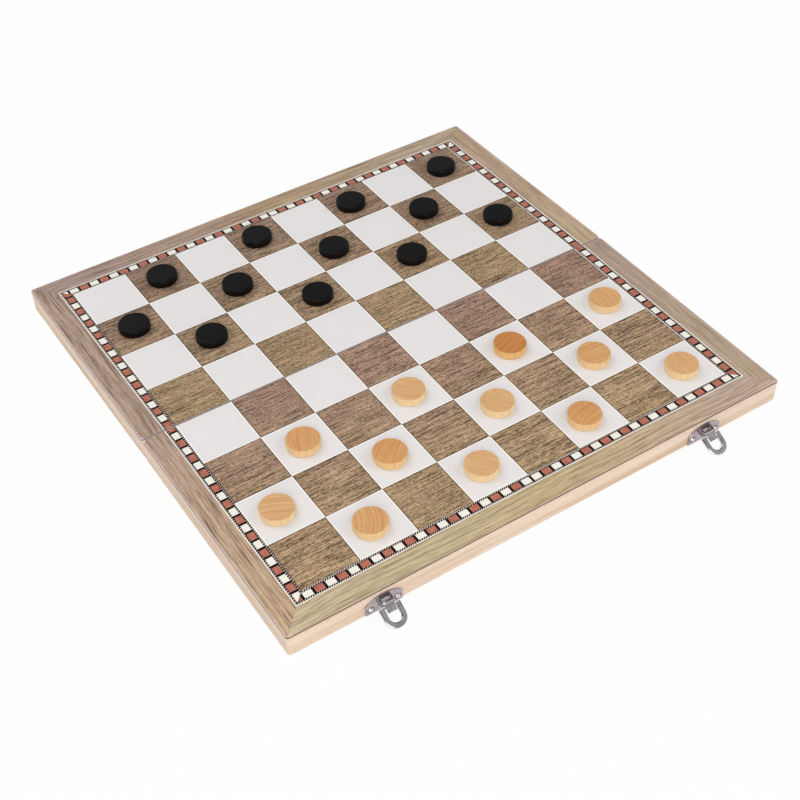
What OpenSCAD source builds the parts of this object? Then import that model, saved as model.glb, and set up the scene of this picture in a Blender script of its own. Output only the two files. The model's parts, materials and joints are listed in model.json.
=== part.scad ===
// Folding games compendium box, laid open as a draughts board.
// Two shallow wooden trays are joined by two butt hinges. Shut, rim to rim, they make a box that two
// hasps hold. Laid open, the board stands on its hinge barrels and on its two outer rims, so the fold
// stands a little high and each half slopes away from it.
// Whole-part frame: X along the fold, -Y towards the hasps, +Z up, origin on the table under the
// middle of the fold. Each half is drawn in a half frame of its own: origin on the fold axis, X along
// the fold, +Y outwards to the half's long wall, +Z from the rim to the playing face.

/* [Board] */
// Width of the board along the fold
board_w = 390; // [350:1:430]
// Depth of one half, from the fold axis to the outer wall
half_d = 195; // [185:1:220]
// Height of one half, from its rim to the printed face
half_h = 17.5; // [16.5:0.1:30]
// Thickness of the rails
rail_t = 9; // [8.6:0.1:12]
// Radius of the board's corners
corner_r = 1.8; // [0.4:0.1:3]
// Gap between the rims when the box is shut
rim_gap = 0.3; // [0.2:0.05:0.6]
// Gap between the two fold rails when both halves lie level
seam_gap = 0.3; // [0.2:0.05:0.6]

/* [Panels and sheets] */
// Thickness of the thin board let into the rails
panel_t = 3; // [2:0.1:4]
// How far the panel reaches over the rails
rebate_w = 4; // [2:0.1:6]
// Thickness of the printed face sheet
sheet_t = 0.3; // [0.2:0.05:0.6]
// Thickness of the sheet that lines each tray
lining_t = 0.2; // [0.15:0.05:0.5]
// Gap round the panel and round the lining
panel_fit = 0.1; // [0.05:0.05:0.3]

/* [Draughts] */
// Width of one square of the board
square_w = 42.6; // [38:0.1:43]
// Diameter of a draught
draught_d = 23.5; // [18:0.1:32]
// Thickness of a draught
draught_t = 6.2; // [4.5:0.1:9]
// Edge radius of the dark draughts
dark_edge_r = 1.3; // [0.6:0.1:2]
// Edge radius of the light draughts
light_edge_r = 0.5; // [0.2:0.1:1.5]
// How far the draughts stand left of the middles of their squares
set_left = 1.9; // [0:0.1:3]
// How far the dark draughts scatter about that place
dark_scatter = 2; // [0:0.1:3]
// How far the light draughts scatter about that place
light_scatter = 0.8; // [0:0.1:3]

/* [Hinges] */
// Distance of each hinge's middle from the board's end
hinge_inset = 75; // [55:1:130]
// Length of a leaf along the fold
leaf_l = 25; // [20:0.5:40]
// Width of a leaf, from the fold axis
leaf_w = 8; // [6.5:0.1:8.4]
// Thickness of a leaf
leaf_t = 1; // [0.7:0.05:1.3]
// Outer diameter of the hinge barrel
barrel_d = 3.5; // [3.2:0.1:4.5]
// Diameter of the hinge pin
hinge_pin_d = 1.8; // [1.2:0.1:2]
// Number of knuckles in one barrel
knuckle_n = 5; // [3:2:7]
// Gap between neighbouring knuckles
knuckle_gap = 0.2; // [0.1:0.05:0.4]
// Diameter of a pin's peened head
hinge_pin_head_d = 2.6; // [2.2:0.1:3]
// Thickness of a pin's peened head
hinge_pin_head_t = 0.5; // [0.3:0.1:1]
// Distance of each screw from the leaf's middle
screw_x = 7.5; // [5:0.1:8]
// Distance of the screws from the fold axis
screw_y = 5; // [4.4:0.1:5.5]
// Shank diameter of a hinge screw
screw_d = 1.8; // [1.4:0.1:2.2]
// Head diameter of a hinge screw
screw_head_d = 3.2; // [2.6:0.1:3.4]
// Length of a hinge screw
screw_l = 8; // [5:0.5:12]

/* [Hasps] */
// Distance of each hasp's middle from the board's end
latch_inset = 66.7; // [45:0.1:130]
// Width of the half-moon plates
plate_w = 26.6; // [25:0.1:32]
// Height of the half-moon plates at the top of the arc
plate_h = 13.7; // [12.5:0.1:15.5]
// Height of the half-moon plates at their ends
plate_end_h = 8.5; // [7:0.1:10]
// Thickness of the plates
plate_t = 1; // [0.7:0.05:1.2]
// Height of the lever's pin above the rim
pivot_h = 9; // [8.2:0.1:9.6]
// Distance of the lever's pin from the wall
pivot_out = 4.5; // [4.2:0.1:5.5]
// Diameter of the lever's pin
latch_pin_d = 1.7; // [1.2:0.1:2]
// Thickness of the bracket on the plate and of its two ears
ear_t = 0.8; // [0.6:0.05:1]
// Radius of the ears round the pin
ear_r = 1.9; // [1.6:0.05:2]
// How far the ears' feet reach below the pin
ear_low = 3.8; // [3.4:0.1:4.5]
// How far the ears' feet reach above the pin
ear_high = 3; // [2.6:0.1:3.4]
// Width of the lever across its two bars
lever_w = 15.4; // [15:0.1:17]
// Length of the lever from its pin to its rounded end
lever_l = 17.5; // [17:0.1:19]
// Width of the lever's channel bars
bar_w = 3.8; // [3.4:0.1:4.1]
// Depth of the lever's channel bars
bar_h = 1.6; // [1.4:0.1:2]
// Radius of the bars' two outer edges
bar_edge_r = 0.8; // [0.75:0.05:1.1]
// Thickness of the lever's sheet metal
metal_t = 0.7; // [0.5:0.05:0.8]
// Width of the lever's tongue and knuckle
tongue_w = 6.6; // [5.6:0.1:6.6]
// Length of the lever's tongue below its pin
tongue_l = 6.8; // [5:0.1:7.5]
// How far the tongue stands out past the bars
tongue_proud = 0.5; // [0.2:0.1:0.8]
// How far below the pin the bars start
bar_start = 2.4; // [2.3:0.1:3]
// Height of the crossbar that joins the bars and the tongue
crossbar_h = 1.2; // [0.8:0.1:2]
// Width of the catch nose
nose_w = 4.8; // [3:0.1:5.4]
// How far the catch nose stands out past the shut lever
nose_proud = 0.9; // [0.5:0.1:1.5]
// Thickness of the catch nose
nose_t = 1; // [0.8:0.05:1.2]
// Diameter of the bead along the catch nose's tip
nose_bead_d = 1.4; // [1.2:0.1:1.8]
// Distance of each nail from the plate's middle
nail_x = 9.8; // [9.4:0.1:10.5]
// Height of the nails above the rim
nail_h = 4.3; // [3:0.1:5.5]
// Diameter of a nail's dome
nail_head_d = 3.6; // [2.8:0.1:3.8]
// Height of a nail's dome
nail_head_h = 1.2; // [0.6:0.1:1.4]
// Diameter of a nail's shank
nail_d = 1.2; // [0.9:0.1:1.6]
// Length of a nail below its dome
nail_l = 7; // [5:0.1:8]

/* [Clearances] */
// Radial clearance of both kinds of pin in their eyes
pin_clear = 0.05; // [0.03:0.01:0.08]
// Clearance of the wood and the leaves round the hinge barrel
barrel_clear = 0.35; // [0.25:0.05:0.5]
// Clearance of the screws and nails in their holes
hole_clear = 0.05; // [0.02:0.01:0.1]
// Clearance at the ends of the lever's knuckle
knuckle_side = 0.2; // [0.1:0.05:0.3]
// Gap between the ears and the lever's crossbar
crossbar_clear = 0.5; // [0.3:0.1:1]
// Gap between the catch nose and the end of the lever's window
nose_clear = 0.3; // [0.2:0.05:0.5]
// Height of the resting lever's end above the table
lever_rest = 0.05; // [0.02:0.01:0.1]

/* [Hidden] */
$fn = 64;
HALVES = ["front", "back"];
SIDES = ["left", "right"];
WOODEN = ["long_rail", "fold_rail", "left_rail", "right_rail", "panel", "printed_face", "tray_lining"];
HINGE = ["front_leaf", "back_leaf", "pin"];
HASP = ["plate", "pin", "lever"];
// Draughts of one colour, and how many stand in a row
SET = 12;
PER_ROW = 4;
function two_digits(i) = str(i < 10 ? "0" : "", i);

// A cut runs this far past the face that it opens, and forms that only touch are sunk together this far
past = 1;
weld = 0.05;

// Half frame: the rim and seam faces stand off the fold axis by half their gaps
rim = rim_gap / 2;
seam = seam_gap / 2;
rail_h = half_h - sheet_t;
face_z = rim + half_h;

// Laid open, the barrels and the outer rims touch the table
barrel_r = barrel_d / 2;
slope = asin(barrel_r / norm([half_d, rim])) + atan2(rim, half_d);

// Inside of the trays, and the seat of the panel in the rails
tray_x = board_w / 2 - rail_t;
tray_y0 = seam + rail_t;
tray_y1 = half_d - rail_t;
panel_z = rim + rail_h - panel_t;

// Hinge
hinge_x = board_w / 2 - hinge_inset;
hinge_pin_r = hinge_pin_d / 2;
knuckle_l = (leaf_l - (knuckle_n - 1) * knuckle_gap) / knuckle_n;
barrel_notch_l = leaf_l + 2 * (hinge_pin_head_t + barrel_clear);
screw_head_h = (screw_head_d - screw_d) / 2;

// Half-moon plate: one arc over two upright ends
latch_x = board_w / 2 - latch_inset;
plate_rise = plate_h - plate_end_h;
plate_arc_r = (plate_w * plate_w / 4 + plate_rise * plate_rise) / (2 * plate_rise);

// Lever: channel bars on both sides of a window, with a round end
latch_pin_r = latch_pin_d / 2;
bar_x = lever_w / 2 - bar_w / 2;
arc_s = lever_l - lever_w / 2;
window_r = lever_w / 2 - bar_w;
knuckle_r = latch_pin_r + pin_clear + metal_t;
ear_x = tongue_w / 2 + knuckle_side;
crossbar_s = ear_r + crossbar_clear + crossbar_h;
tongue_out = bar_h / 2 + tongue_proud - metal_t;

// The lever hangs out from the wall and rests its round end on the table
pivot_z = barrel_r + (rim + pivot_h) * cos(slope) - (half_d + pivot_out) * sin(slope);
lever_reach = norm([lever_l, bar_h / 2]);
lever_lean = acos((pivot_z - lever_rest) / lever_reach) + atan2(bar_h / 2, lever_l) + slope;

// Catch nose: it stands in the shut lever's window, just short of the window's round end
nose_bead_r = nose_bead_d / 2;
window_s = arc_s + sqrt(window_r * window_r - nose_w * nose_w / 4);
nose_z = window_s - nose_clear - nose_bead_r - pivot_h - rim_gap;
nose_out = pivot_out + bar_h / 2 + nose_proud;

// Places of the halves in the whole part
module on_back() translate([0, 0, barrel_r]) rotate([-slope, 0, 0]) children();
module on_front() translate([0, 0, barrel_r]) rotate([slope, 0, 0]) mirror([0, 1, 0]) children();
module on_half(half) {
    if (half == "front") on_front() children();
    else on_back() children();
}
function side_sign(side) = side == "left" ? -1 : 1;

// ---- Wooden trays -------------------------------------------------------------------------------

// Outline of one half seen from above, with rounded corners
module half_outline() {
    translate([-board_w / 2, seam + corner_r]) square([board_w, half_d - seam - 2 * corner_r]);
    translate([-board_w / 2 + corner_r, seam]) square([board_w - 2 * corner_r, half_d - seam]);
    for (x = [-1, 1], y = [seam + corner_r, half_d - corner_r])
        translate([x * (board_w / 2 - corner_r), y]) circle(corner_r);
}

// A rail with mitred ends, cut from the half's outline between its outer and inner edge
module rail(edge) {
    difference() {
        translate([0, 0, rim]) linear_extrude(rail_h) intersection() {
            half_outline();
            polygon(edge);
        }
        panel_seat();
    }
}

module panel_seat() {
    x = tray_x + rebate_w;
    y0 = tray_y0 - rebate_w;
    translate([-x, y0, panel_z]) cube([2 * x, tray_y1 + rebate_w - y0, panel_t + past]);
}

function long_edge() = [[-board_w / 2, half_d], [board_w / 2, half_d], [tray_x, tray_y1], [-tray_x, tray_y1]];
function fold_edge() = [[-board_w / 2, seam], [board_w / 2, seam], [tray_x, tray_y0], [-tray_x, tray_y0]];
function side_edge(s) =
    [[s * board_w / 2, seam], [s * board_w / 2, half_d], [s * tray_x, tray_y1], [s * tray_x, tray_y0]];

module long_rail(half) {
    color("wheat") on_half(half) difference() {
        rail(long_edge());
        for (s = [-1, 1]) at_latch(s) nail_holes();
    }
}

module fold_rail(half) {
    color("wheat") on_half(half) difference() {
        rail(fold_edge());
        for (s = [-1, 1]) translate([s * hinge_x, 0, 0]) hinge_mortise();
    }
}

module side_rail(half, side) {
    color("wheat") on_half(half) rail(side_edge(side_sign(side)));
}

module panel(half) {
    x = tray_x + rebate_w - panel_fit;
    y0 = tray_y0 - rebate_w + panel_fit;
    y1 = tray_y1 + rebate_w - panel_fit;
    color("burlywood") on_half(half) translate([-x, y0, panel_z]) cube([2 * x, y1 - y0, panel_t]);
}

module printed_face(half) {
    color("rosybrown") on_half(half) translate([0, 0, rim + rail_h]) linear_extrude(sheet_t) half_outline();
}

module tray_lining(half) {
    x = tray_x - panel_fit;
    y0 = tray_y0 + panel_fit;
    color("tan") on_half(half) translate([-x, y0, panel_z - lining_t])
        cube([2 * x, tray_y1 - panel_fit - y0, lining_t]);
}

// ---- Butt hinges on the fold --------------------------------------------------------------------

module barrel(r, l) rotate([0, 90, 0]) cylinder(r = r, h = l);

// Runs its children at the start of every knuckle that is in the turn asked for: 0 or 1
module at_knuckles(turn) {
    for (i = [turn : 2 : knuckle_n - 1])
        translate([-leaf_l / 2 + i * (knuckle_l + knuckle_gap), 0, 0]) children();
}

module at_screws() {
    for (s = [-1, 1]) translate([s * screw_x, screw_y, rim]) children();
}

// A countersunk screw with its flat head on the rim, grown all round by a clearance
module screw(grow) {
    cylinder(r1 = screw_head_d / 2 + grow, r2 = screw_d / 2 + grow, h = screw_head_h);
    cylinder(r = screw_d / 2 + grow, h = screw_l + grow);
}

// Recess of one leaf in the rim, with the notch for half of the barrel
module hinge_mortise() {
    translate([-leaf_l / 2 - barrel_clear, seam - past, rim - past])
        cube([leaf_l + 2 * barrel_clear, leaf_w + barrel_clear - seam + past, leaf_t + past]);
    translate([-barrel_notch_l / 2, 0, 0]) barrel(barrel_r + barrel_clear, barrel_notch_l);
    at_screws() screw(hole_clear);
}

// The front leaf holds the odd knuckles and the pin, and the back leaf holds the even ones
module hinge_leaf(half, side) {
    turn = half == "front" ? 0 : 1;
    color("gainsboro") on_half(half) translate([side_sign(side) * hinge_x, 0, 0]) difference() {
        union() {
            translate([-leaf_l / 2, 0, rim]) cube([leaf_l, leaf_w, leaf_t]);
            at_knuckles(turn) barrel(barrel_r, knuckle_l);
        }
        at_knuckles(1 - turn) translate([-knuckle_gap, 0, 0])
            barrel(barrel_r + barrel_clear, knuckle_l + 2 * knuckle_gap);
        translate([-leaf_l / 2 - past, 0, 0]) barrel(hinge_pin_r + pin_clear, leaf_l + 2 * past);
        at_screws() translate([0, 0, -hole_clear]) screw(hole_clear);
    }
}

module hinge_pin(side) {
    color("gainsboro") on_front() translate([side_sign(side) * hinge_x, 0, 0]) {
        translate([-leaf_l / 2 - hinge_pin_head_t, 0, 0]) barrel(hinge_pin_r, leaf_l + 2 * hinge_pin_head_t);
        for (x = [-leaf_l / 2 - hinge_pin_head_t, leaf_l / 2])
            translate([x, 0, 0]) barrel(hinge_pin_head_d / 2, hinge_pin_head_t);
    }
}

module hinge_screws(half) {
    color("silver") on_half(half) for (s = [-1, 1]) translate([s * hinge_x, 0, 0]) at_screws() screw(0);
}

// ---- Hasps and catches --------------------------------------------------------------------------

// Hasp frame: origin on the outer wall at the rim, +Y out of the wall, +Z up the wall
module at_latch(s) translate([s * latch_x, half_d, rim]) children();

module at_nails() {
    for (s = [-1, 1]) translate([s * nail_x, 0, nail_h]) rotate([-90, 0, 0]) children();
}

module nail_holes() {
    at_nails() translate([0, 0, plate_t - nail_l - hole_clear])
        cylinder(d = nail_d + 2 * hole_clear, h = nail_l + past);
}

// Half-moon plate that lies on the wall with its straight edge at the rim
module half_moon() {
    difference() {
        translate([0, plate_t, 0]) rotate([90, 0, 0]) linear_extrude(plate_t) intersection() {
            translate([-plate_w / 2, 0]) square([plate_w, plate_h]);
            translate([0, plate_h - plate_arc_r]) circle(plate_arc_r);
        }
        nail_holes();
    }
}

// An ear that stands out from the plate and rounds off about the pin
module ear() {
    rotate([90, 0, 90]) linear_extrude(ear_t) {
        translate([pivot_out, pivot_h]) circle(ear_r);
        polygon([[plate_t / 2, pivot_h - ear_low], [pivot_out, pivot_h - ear_r],
            [pivot_out, pivot_h + ear_r], [plate_t / 2, pivot_h + ear_high]]);
    }
}

// The two ears are folded up from a small bracket, which is spot-welded to the plate
module latch_plate(side) {
    color("silver") on_front() at_latch(side_sign(side)) difference() {
        union() {
            half_moon();
            translate([-ear_x - ear_t, plate_t / 2, pivot_h - ear_low])
                cube([2 * (ear_x + ear_t), plate_t / 2 + ear_t, ear_low + ear_high]);
            for (x = [-ear_x - ear_t, ear_x]) translate([x, 0, 0]) ear();
        }
        translate([-ear_x - ear_t - past, pivot_out, pivot_h])
            barrel(latch_pin_r + pin_clear, 2 * (ear_x + ear_t + past));
    }
}

module latch_pin(side) {
    l = 2 * (ear_x + ear_t);
    color("silver") on_front() at_latch(side_sign(side))
        translate([-l / 2, pivot_out, pivot_h]) barrel(latch_pin_r, l);
}

// Half outline of a bar's section, w wide and h deep, with outer edges of radius r
module bar_outline(w, h, r) {
    translate([-w / 2, 0]) square([w, h - r]);
    translate([-w / 2 + r, 0]) square([w - 2 * r, h]);
    for (x = [-1, 1]) translate([x * (w / 2 - r), h - r]) circle(r);
}

// Section of a lever bar: a shallow channel of sheet metal, open towards the wall
module bar_section() {
    difference() {
        bar_outline(bar_w, bar_h, bar_edge_r);
        translate([metal_t - bar_w / 2, -past]) square([bar_w - 2 * metal_t, bar_h - metal_t + past]);
    }
}

// Lever hanging straight down from its pin at the origin, with its front towards +Y
module lever_shape() {
    difference() {
        union() {
            // two straight bars and the round end
            translate([0, -bar_h / 2, 0]) {
                for (s = [-1, 1])
                    translate([s * bar_x, 0, -arc_s]) linear_extrude(arc_s - bar_start) bar_section();
                translate([0, 0, -arc_s]) rotate([90, 0, 0]) mirror([0, 0, 1])
                    rotate_extrude(angle = -180) translate([bar_x, 0]) bar_section();
            }
            // crossbar between the bars
            translate([-bar_x, tongue_out - metal_t + weld, -crossbar_s])
                cube([2 * bar_x, metal_t, crossbar_h]);
            // tongue in front of the window, rolled round the pin at its top
            translate([-tongue_w / 2, tongue_out, -tongue_l])
                cube([tongue_w, metal_t, tongue_l - metal_t]);
            translate([-tongue_w / 2, 0, 0]) barrel(knuckle_r, tongue_w);
        }
        translate([-tongue_w / 2 - past, 0, 0]) barrel(latch_pin_r + pin_clear, tongue_w + 2 * past);
    }
}

module latch_lever(side) {
    color("silver") on_front() at_latch(side_sign(side))
        translate([0, pivot_out, pivot_h]) rotate([lever_lean, 0, 0]) lever_shape();
}

// A nail with a low domed head on the plate's face
module nail() {
    dome_r = (nail_head_d * nail_head_d / 4 + nail_head_h * nail_head_h) / (2 * nail_head_h);
    translate([0, 0, plate_t]) {
        rotate_extrude() intersection() {
            translate([0, nail_head_h - dome_r]) circle(dome_r);
            square([nail_head_d / 2, nail_head_h]);
        }
        translate([0, 0, -nail_l]) cylinder(d = nail_d, h = nail_l);
    }
}

module nails(half) {
    color("lightgray") on_half(half) for (s = [-1, 1]) at_latch(s) at_nails() nail();
}

// Catch: the same half-moon with a nose bent out of it, whose tip is rolled into a bead
module catch_plate(side) {
    bead_out = nose_out - nose_bead_r;
    color("silver") on_back() at_latch(side_sign(side)) {
        difference() {
            half_moon();
            translate([-nose_w / 2, -past, nose_z + nose_t / 2])
                cube([nose_w, plate_t + 2 * past, nose_out - nose_t]);
        }
        translate([-nose_w / 2, plate_t / 2, nose_z - nose_t / 2])
            cube([nose_w, bead_out - plate_t / 2, nose_t]);
        translate([-nose_w / 2, bead_out, nose_z]) barrel(nose_bead_r, nose_w);
    }
}

// ---- Draughts -----------------------------------------------------------------------------------

// A disc whose edges are rounded by r
module draught(r) {
    rotate_extrude() {
        square([draught_d / 2 - r, draught_t]);
        translate([0, r]) square([draught_d / 2, draught_t - 2 * r]);
        for (z = [r, draught_t - r]) translate([draught_d / 2 - r, z]) circle(r);
    }
}

// The twelve draughts of a colour stand on every other square of the three rows farthest from the fold.
// Rows and columns count from 0, the columns from the left and the rows away from the back.
columns = 2 * PER_ROW;
function row_of(i) = floor((i - 1) / PER_ROW);
function column_of(i) = 2 * ((i - 1) % PER_ROW) + 1 - row_of(i) % 2;
function squares_out(shade, i) = shade == "dark" ? columns / 2 - 1 - row_of(i) : 1 + row_of(i);

// A draught's drift turns by a step from one draught to the next: [step, start] along X, then along Y
dark_drift = [[76, 50], [104, 260]];
light_drift = [[125, 320], [179, 150]];
function drift(i, reach, turn) = reach * sin(turn[0] * i + turn[1]);

module set_draught(shade, i) {
    dark = shade == "dark";
    reach = dark ? dark_scatter : light_scatter;
    turn = dark ? dark_drift : light_drift;
    x = (column_of(i) + 1 / 2 - columns / 2) * square_w - set_left + drift(i, reach, turn[0]);
    y = (squares_out(shade, i) + 1 / 2) * square_w + (dark ? 1 : -1) * drift(i, reach, turn[1]);
    color(dark ? [0.12, 0.12, 0.13] : "burlywood") on_half(dark ? "back" : "front")
        translate([x, y, face_z]) draught(dark ? dark_edge_r : light_edge_r);
}

// ---- One node at a time -------------------------------------------------------------------------

for (half = HALVES) {
    long_rail(half);
    fold_rail(half);
    for (side = SIDES)
        side_rail(half, side);
    panel(half);
    printed_face(half);
    tray_lining(half);
    hinge_screws(half);
}
for (side = SIDES) {
    for (half = HALVES)
        hinge_leaf(half, side);
    hinge_pin(side);
    latch_plate(side);
    latch_pin(side);
    latch_lever(side);
    catch_plate(side);
}
nails("front");  // latch_nails
nails("back");  // catch_nails
for (shade = ["dark", "light"], i = [1 : SET])
    set_draught(shade, i);
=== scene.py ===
"""Look of a folding games compendium box, laid open as a draughts board.

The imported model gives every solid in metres: X along the fold, -Y towards the hasps, +Z up, with the
origin on the table under the middle of the fold. Here each sub-assembly is a class that finds its own
solids in that frame, softens their edges and dresses them in procedural finishes.
"""

import json
import logging
import math
from dataclasses import dataclass, field
from enum import Enum

import bpy
from mathutils import Matrix, Vector


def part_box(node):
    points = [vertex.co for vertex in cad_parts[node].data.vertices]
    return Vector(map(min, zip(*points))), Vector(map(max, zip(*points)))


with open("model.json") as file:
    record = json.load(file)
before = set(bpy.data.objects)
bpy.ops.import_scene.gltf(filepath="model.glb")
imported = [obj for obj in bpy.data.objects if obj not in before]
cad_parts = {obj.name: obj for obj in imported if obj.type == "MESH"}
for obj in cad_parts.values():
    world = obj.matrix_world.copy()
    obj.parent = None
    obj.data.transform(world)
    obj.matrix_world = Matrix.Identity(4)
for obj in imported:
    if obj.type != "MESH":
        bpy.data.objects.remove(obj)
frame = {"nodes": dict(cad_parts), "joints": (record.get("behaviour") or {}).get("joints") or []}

LOG = logging.getLogger("games_box")
MM = 0.001

# an even number that keeps a count of squares or blocks above zero before it is halved
EVEN = 64.0

Colour = tuple[float, float, float]
Point = tuple[float, float, float]
Socket = bpy.types.NodeSocket

BLACK = (0.0, 0.0, 0.0)
WHITE = (1.0, 1.0, 1.0)


def from_screen(red: int, green: int, blue: int) -> Colour:
    """Turn a colour as a screen shows it into the linear values of a shader.

    Args:
        red: Red share, 0 to 255.
        green: Green share, 0 to 255.
        blue: Blue share, 0 to 255.

    Returns:
        The three linear shares.
    """
    parts = [share / 255 for share in (red, green, blue)]
    return tuple(part / 12.92 if part <= 0.04045 else ((part + 0.055) / 1.055) ** 2.4 for part in parts)


def grey(light: float) -> Colour:
    """Return a grey of a given linear light."""
    return (light, light, light)


def shade(colour: Colour, by: float) -> Colour:
    """Return a linear colour with its light multiplied by a factor."""
    return tuple(part * by for part in colour)


def blend(pair: tuple[Colour, Colour], share: float) -> Colour:
    """Return a colour between two colours, or past the second for a share above 1."""
    return tuple(first + (second - first) * share for first, second in zip(*pair))


class Half(Enum):
    """The two halves of the box."""

    FRONT = "front"
    BACK = "back"

    @property
    def sign(self) -> int:
        """Return the sign of Y on this half."""
        return 1 if self is Half.BACK else -1


class Side(Enum):
    """The two ends of the fold."""

    LEFT = "left"
    RIGHT = "right"


class Grain(Enum):
    """The axis that the wood's fibres run along."""

    ALONG_X = 0
    ALONG_Y = 1


# ---- Node graphs --------------------------------------------------------------------------------


class Field:
    """A value or colour that changes over a surface: a node's output, with the usual arithmetic.

    A comparison gives a mask, which is 1 where it holds and else 0. Of masks, & is both, | is either
    and ~ is the opposite.
    """

    def __init__(self, nodes: "Nodes", socket: Socket) -> None:
        """Keep a node's output and the tree that it belongs to."""
        self.nodes = nodes
        self.socket = socket

    def __add__(self, other: "Value") -> "Field":
        """Return self + other."""
        return self.nodes.math("ADD", self, other)

    def __sub__(self, other: "Value") -> "Field":
        """Return self - other."""
        return self.nodes.math("SUBTRACT", self, other)

    def __rsub__(self, other: float) -> "Field":
        """Return other - self."""
        return self.nodes.math("SUBTRACT", other, self)

    def __mul__(self, other: "Value") -> "Field":
        """Return self * other."""
        return self.nodes.math("MULTIPLY", self, other)

    def __truediv__(self, other: float) -> "Field":
        """Return self / other."""
        return self * (1 / other)

    def __mod__(self, other: float) -> "Field":
        """Return the rest of self / other."""
        return self.nodes.math("MODULO", self, other)

    def __abs__(self) -> "Field":
        """Return self without its sign."""
        return self.nodes.math("ABSOLUTE", self)

    def __gt__(self, other: "Value") -> "Field":
        """Return the mask of self > other."""
        return self.nodes.math("GREATER_THAN", self, other)

    def __lt__(self, other: "Value") -> "Field":
        """Return the mask of self < other."""
        return self.nodes.math("LESS_THAN", self, other)

    def __and__(self, other: "Field") -> "Field":
        """Return the mask where both masks hold."""
        return self * other

    def __or__(self, other: "Field") -> "Field":
        """Return the mask where one of two masks holds."""
        return self.nodes.math("MAXIMUM", self, other)

    def __invert__(self) -> "Field":
        """Return the opposite mask."""
        return 1.0 - self


Value = Field | float
Paint = Field | Colour


@dataclass(frozen=True)
class Pattern:
    """A noise: how many of its features fit in a metre along each axis, and its finer layers.

    Attributes:
        scales: Features in a metre, one number for each axis.
        detail: Number of finer layers.
        roughness: Strength of the finer layers.
        warp: Distortion of the noise.
    """

    scales: tuple[float, ...]
    detail: float = 3.0
    roughness: float = 0.5
    warp: float = 0.0


PEEL = Pattern((900.0, 900.0), 2.0)


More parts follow.
